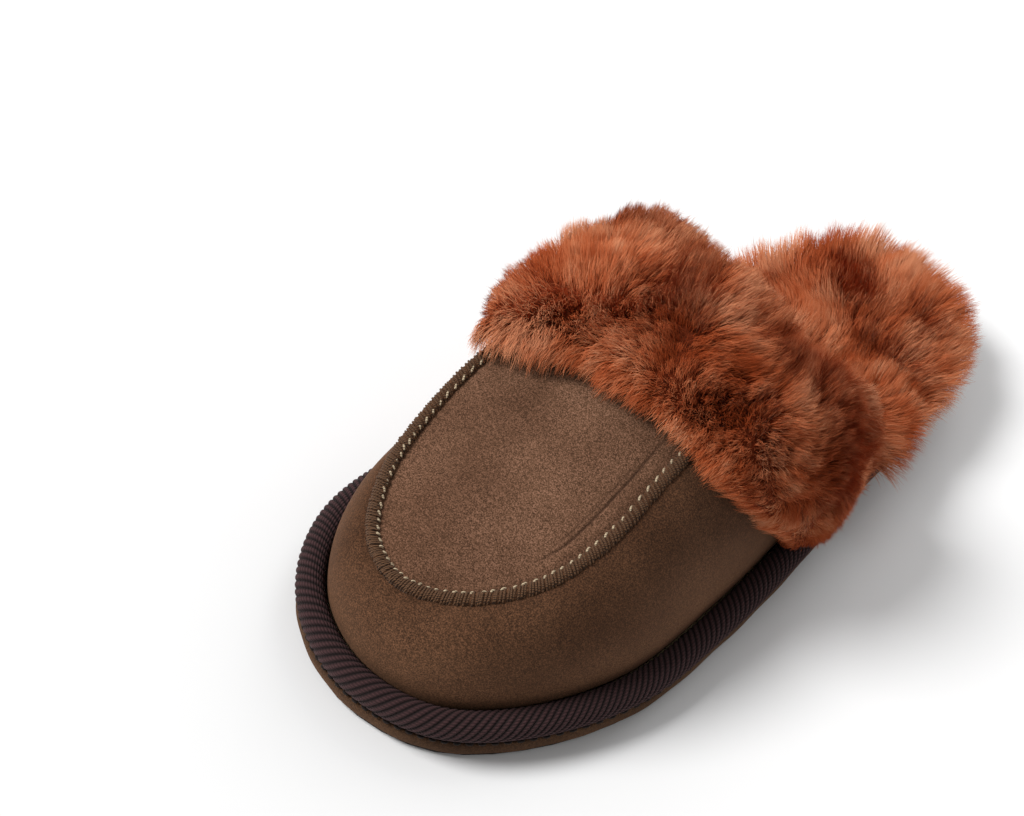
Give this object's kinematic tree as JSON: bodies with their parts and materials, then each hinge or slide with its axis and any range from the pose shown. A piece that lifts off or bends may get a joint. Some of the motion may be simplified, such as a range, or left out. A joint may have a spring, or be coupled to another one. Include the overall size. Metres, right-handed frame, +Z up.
{
  "type": "fluffy house slipper",
  "caption": "Backless house slipper for the left foot: suede moccasin upper with a raised apron seam, ribbed binding, sheepskin footbed, lining and turned-down collar.",
  "frame": {"origin": "on the floor, under the middle of the slipper's bounding box", "axes": "+Z up, +Y towards the open heel, -Y towards the toe, +X towards the outer (lateral) side of a left foot"},
  "size_m": [0.1154, 0.2774, 0.0925],
  "materials": {
    "rubber_sole": "matte, finely grained thermoplastic rubber, dark brown",
    "eva_foam": "closed-cell EVA foam sheet",
    "suede_strip": "napped suede strip, brown",
    "fibre_board": "pressed fibre board",
    "cushion_foam": "soft open-cell foam",
    "sheepskin_leather": "the skin side of dyed sheepskin",
    "sheepskin_pile": "dense clipped sheepskin pile, rust, dark in its partings",
    "lining_pile": "shorter sheepskin pile, rust",
    "collar_pile": "long soft sheepskin pile, rust with paler tips",
    "cotton_cord": "plain cotton filler cord",
    "twill_tape": "ribbed twill tape, dark aubergine brown",
    "dark_thread": "twisted sewing thread, near black brown",
    "suede_wall": "fine suede nap, brown",
    "suede_apron": "fine suede nap, a lighter brown",
    "overlock_thread": "olive-brown overlock thread, wound close",
    "ivory_thread": "ivory needle thread"
  },
  "bodies": {
    "root": {"outsole": "rubber_sole", "midsole": "eva_foam", "midsole_cover": "suede_strip", "insole_board": "fibre_board", "insole_foam": "cushion_foam", "footbed_skin": "sheepskin_leather", "footbed_pile": "sheepskin_pile", "binding_cord": "cotton_cord", "binding_tape": "twill_tape", "binding_stitch_thread": "dark_thread", "vamp_wall": "suede_wall", "apron": "suede_apron", "apron_overlock_thread": "overlock_thread", "apron_needle_thread": "ivory_thread", "lining_skin": "sheepskin_leather", "lining_pile": "lining_pile", "collar_skin": "sheepskin_leather", "collar_pile": "collar_pile", "mouth_stitch_thread": "dark_thread"}
  },
  "joints": []
}
